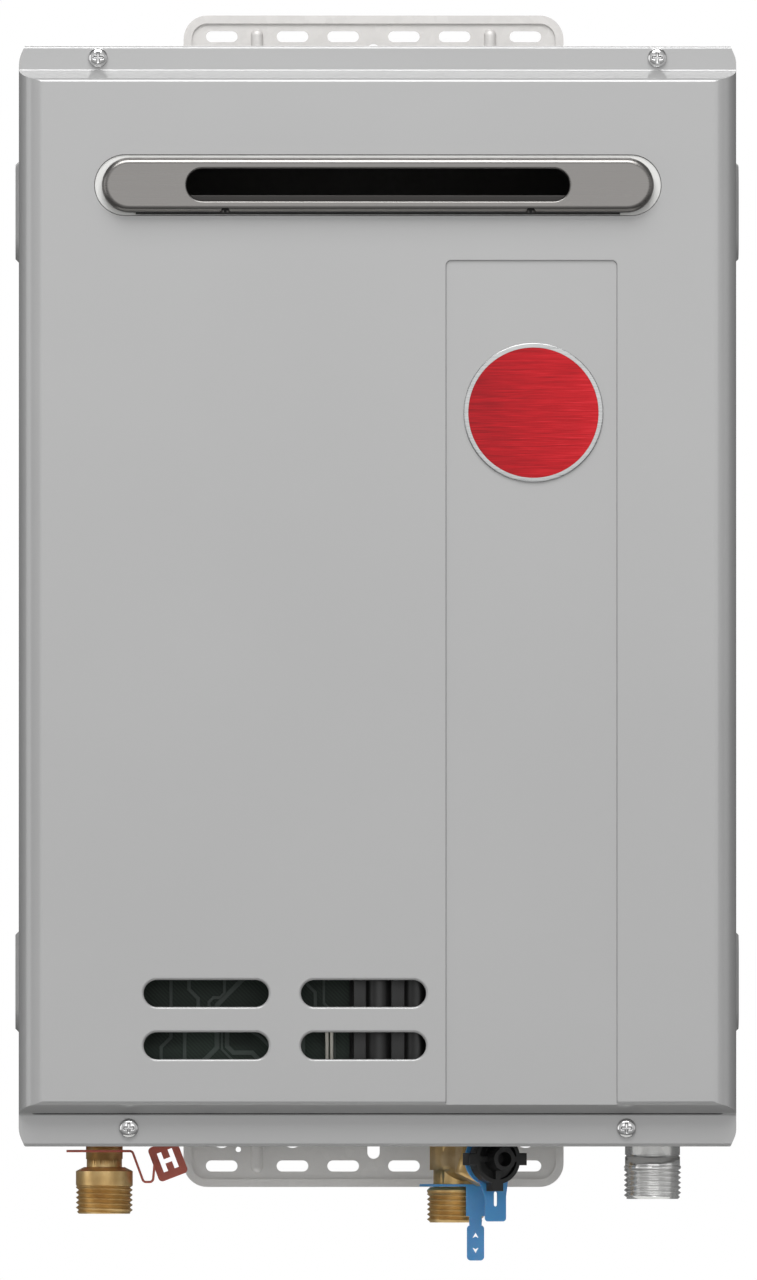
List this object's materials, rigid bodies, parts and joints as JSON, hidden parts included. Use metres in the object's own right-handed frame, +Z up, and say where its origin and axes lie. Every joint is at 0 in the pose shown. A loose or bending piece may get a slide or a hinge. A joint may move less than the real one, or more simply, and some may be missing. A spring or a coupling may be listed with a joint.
{
  "type": "tankless water heater",
  "caption": "Wall-hung outdoor gas water heater: steel case with a lift-off front cover, exhaust hood, air slots, wall brackets and threaded water and gas connections.",
  "frame": {"origin": "on the wall plane, midway between the four outer wall slots", "axes": "+X to the right seen from the front, +Y into the wall, +Z up"},
  "size_m": [0.3382, 0.186, 0.587],
  "materials": {
    "powder_coat": "fine satin powder coat on sheet steel",
    "case_paint": "satin paint on sheet steel",
    "galvanised_steel": "zinc coated sheet",
    "chromed_steel": "bright plated",
    "stainless_steel": "brushed stainless",
    "pale_seal": "pale silicone",
    "black_rubber": "matt",
    "red_enamel": "brushed metal under red lacquer",
    "copper": null,
    "brass": "machined brass",
    "nickel_plate": "satin nickel plate on brass",
    "cast_aluminium": "die cast",
    "glazed_ceramic": null,
    "black_plastic": "moulded",
    "tray_plastic": "moulded",
    "green_board": "circuit board with solder mask",
    "pale_lead": "sleeved wire",
    "dark_lead": "silicone high-voltage lead",
    "red_tag_plastic": "moulded flexible plastic",
    "blue_tag_plastic": "moulded flexible plastic"
  },
  "bodies": {
    "case": {"rear_case": "case_paint", "top_panel": "case_paint", "bottom_panel": "case_paint", "cover_gasket": "black_rubber", "upper_wall_bracket": "galvanised_steel", "lower_wall_bracket": "galvanised_steel", "small_screws": "galvanised_steel", "exhaust_hood": "stainless_steel", "hood_seal": "pale_seal", "flue_collector": "stainless_steel", "exchanger_jacket": "copper", "exchanger_fins": "copper", "exchanger_tubes": "copper", "wrap_coil": "copper", "burner_box": "stainless_steel", "burner_bars": "stainless_steel", "gas_rail": "cast_aluminium", "gas_nozzles": "brass", "electrodes": "glazed_ceramic", "air_plenum": "galvanised_steel", "stack_stays": "galvanised_steel", "fan_housing": "galvanised_steel", "fan_motor": "galvanised_steel", "ignition_module": "black_plastic", "ignition_lead": "dark_lead", "hot_outlet": "brass", "cold_inlet": "brass", "gas_inlet": "nickel_plate", "grommets": "black_rubber", "flow_sensor": "black_plastic", "water_valve": "brass", "valve_motor": "black_plastic", "cold_pipe": "copper", "hot_pipe": "copper", "bypass_pipe": "copper", "overheat_switch": "black_plastic", "gas_valve": "cast_aluminium", "gas_solenoids": "black_plastic", "gas_pipe": "galvanised_steel", "control_tray": "tray_plastic", "control_board": "green_board", "board_parts": "black_plastic", "power_module": "black_plastic", "sensor_leads": "pale_lead", "terminal_block": "black_plastic"},
    "cover": {"front_cover": "powder_coat", "cover_screws": "chromed_steel", "badge_rim": "chromed_steel", "badge_disc": "red_enamel"},
    "fan_wheel": {"fan_impeller": "black_plastic", "fan_shaft": "galvanised_steel"},
    "flow_wheel": {"flow_rotor": "black_plastic"},
    "filter_cup": {"filter_strainer": "stainless_steel"},
    "filter_cap": {"filter_knob": "black_plastic", "filter_ring": "black_rubber"},
    "safety_core": {"safety_plunger": "galvanised_steel"},
    "main_core": {"main_plunger": "galvanised_steel"},
    "hot_label": {"hot_tag": "red_tag_plastic"},
    "cold_label": {"cold_tag": "blue_tag_plastic"},
    "filter_label": {"filter_tag": "blue_tag_plastic"}
  },
  "joints": [
    {"name": "cover_pull", "type": "slide", "parent": "case", "child": "cover", "axis": [0, -1, 0], "range_m": [0, 0.25]},
    {"name": "fan_spin", "type": "hinge", "parent": "case", "child": "fan_wheel", "pos_m": [-0.042, -0.06, -0.145], "axis": [0, 1, 0], "continuous": true},
    {"name": "flow_spin", "type": "hinge", "parent": "case", "child": "flow_wheel", "pos_m": [0.0375, -0.085, -0.207], "axis": [0, 0, 1], "continuous": true},
    {"name": "filter_slide", "type": "slide", "parent": "case", "child": "filter_cup", "axis": [0.3987, -0.9171, 0], "range_m": [0, 0.006]},
    {"name": "filter_turn", "type": "hinge", "parent": "filter_cup", "child": "filter_cap", "pos_m": [0.0375, -0.085, -0.263], "axis": [0.3987, -0.9171, 0], "range_deg": [0, 1080]},
    {"name": "safety_valve_lift", "type": "slide", "parent": "case", "child": "safety_core", "axis": [0, -1, 0], "range_m": [0, 0.003], "stiffness_N_per_m": 200},
    {"name": "main_valve_lift", "type": "slide", "parent": "case", "child": "main_core", "axis": [0, -1, 0], "range_m": [0, 0.003], "stiffness_N_per_m": 200},
    {"name": "hot_tag_turn", "type": "hinge", "parent": "case", "child": "hot_label", "pos_m": [-0.1273, -0.085, -0.2593], "axis": [0, 0, 1], "continuous": true},
    {"name": "cold_tag_turn", "type": "hinge", "parent": "case", "child": "cold_label", "pos_m": [0.0375, -0.085, -0.2754], "axis": [0, 0, 1], "continuous": true},
    {"name": "filter_tag_swing", "type": "hinge", "parent": "case", "child": "filter_label", "pos_m": [0.0375, -0.085, -0.263], "axis": [0.3987, -0.9171, 0], "range_deg": [-60, 60]}
  ],
  "couplings": [
    {"joint": "filter_slide", "follows": "filter_turn", "m_per_rad": 0.0003183}
  ]
}
